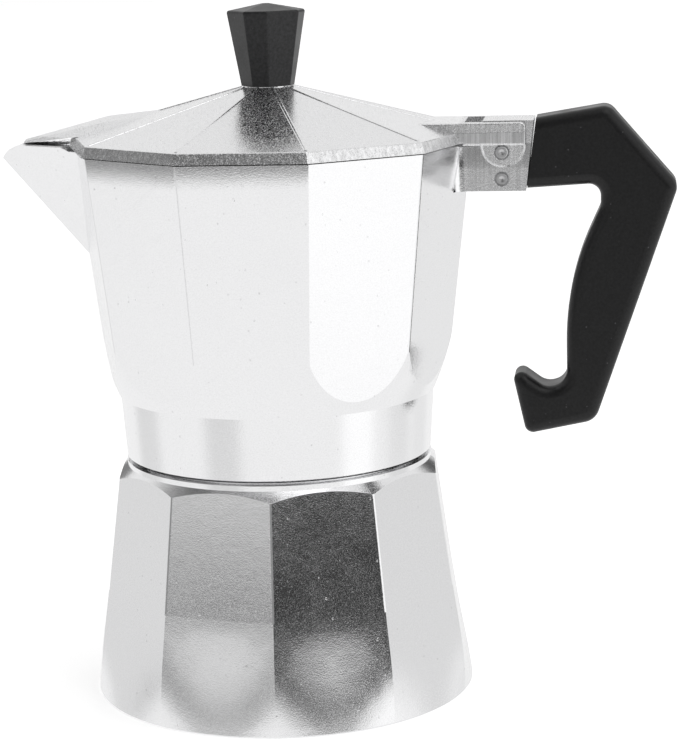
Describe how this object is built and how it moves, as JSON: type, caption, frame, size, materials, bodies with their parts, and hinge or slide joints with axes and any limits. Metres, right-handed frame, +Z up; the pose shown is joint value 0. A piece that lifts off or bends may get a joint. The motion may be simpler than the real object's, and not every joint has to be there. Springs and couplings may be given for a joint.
{
  "type": "moka pot",
  "caption": "Stovetop coffee maker: faceted boiler with safety valve, screw-on faceted upper chamber with V spout, hinged lid with knob, and a bent side handle.",
  "frame": {"origin": "centre of the flat base, on the surface it stands on", "axes": "+Z up along the pot's axis, +X towards the handle, -X towards the spout"},
  "size_m": [0.1508, 0.0872, 0.155],
  "materials": {
    "cast_aluminium": "polished casting, fine orange peel",
    "spun_aluminium": "satin, turned",
    "valve_brass": "turned",
    "seal_rubber": "matt white silicone",
    "steel": "brushed",
    "black_resin": "semi-matt moulded phenolic"
  },
  "bodies": {
    "boiler_unit": {"boiler": "cast_aluminium", "valve_body": "valve_brass", "valve_washer": "seal_rubber", "valve_nut": "valve_brass", "valve_cap": "valve_brass", "valve_spring": "steel"},
    "valve_pin_unit": {"valve_pin": "valve_brass"},
    "funnel_unit": {"funnel": "spun_aluminium", "funnel_sieve": "spun_aluminium"},
    "seal_unit": {"gasket": "seal_rubber", "filter_plate": "spun_aluminium"},
    "chamber_unit": {"upper_chamber": "cast_aluminium", "riser_column": "spun_aluminium", "handle": "black_resin", "handle_pin": "steel", "hinge_pin": "steel"},
    "lid_unit": {"lid": "cast_aluminium", "knob": "black_resin", "knob_insert": "valve_brass", "knob_washer": "steel", "knob_screw": "steel"}
  },
  "joints": [
    {"name": "valve_lift", "type": "slide", "parent": "boiler_unit", "child": "valve_pin_unit", "axis": [-0.3853, 0.9138, 0.1289], "range_m": [0, 0.001], "stiffness_N_per_m": 1500, "springref_m": -0.001, "deforming": ["valve_spring"]},
    {"name": "top_lift", "type": "slide", "parent": "boiler_unit", "child": "funnel_unit", "axis": [0, 0, 1], "range_m": [0, 0.062]},
    {"name": "chamber_rise", "type": "slide", "parent": "funnel_unit", "child": "seal_unit", "axis": [0, 0, 1], "range_m": [0, 0.0046]},
    {"name": "chamber_turn", "type": "hinge", "parent": "seal_unit", "child": "chamber_unit", "pos_m": [0, 0, 0.0664], "axis": [0, 0, 1], "range_deg": [0, 540]},
    {"name": "lid_hinge", "type": "hinge", "parent": "chamber_unit", "child": "lid_unit", "pos_m": [0.052, 0, 0.1222], "axis": [0, 1, 0], "range_deg": [0, 95]}
  ],
  "couplings": [
    {"joint": "chamber_rise", "follows": "chamber_turn", "m_per_rad": 0.00047746}
  ]
}
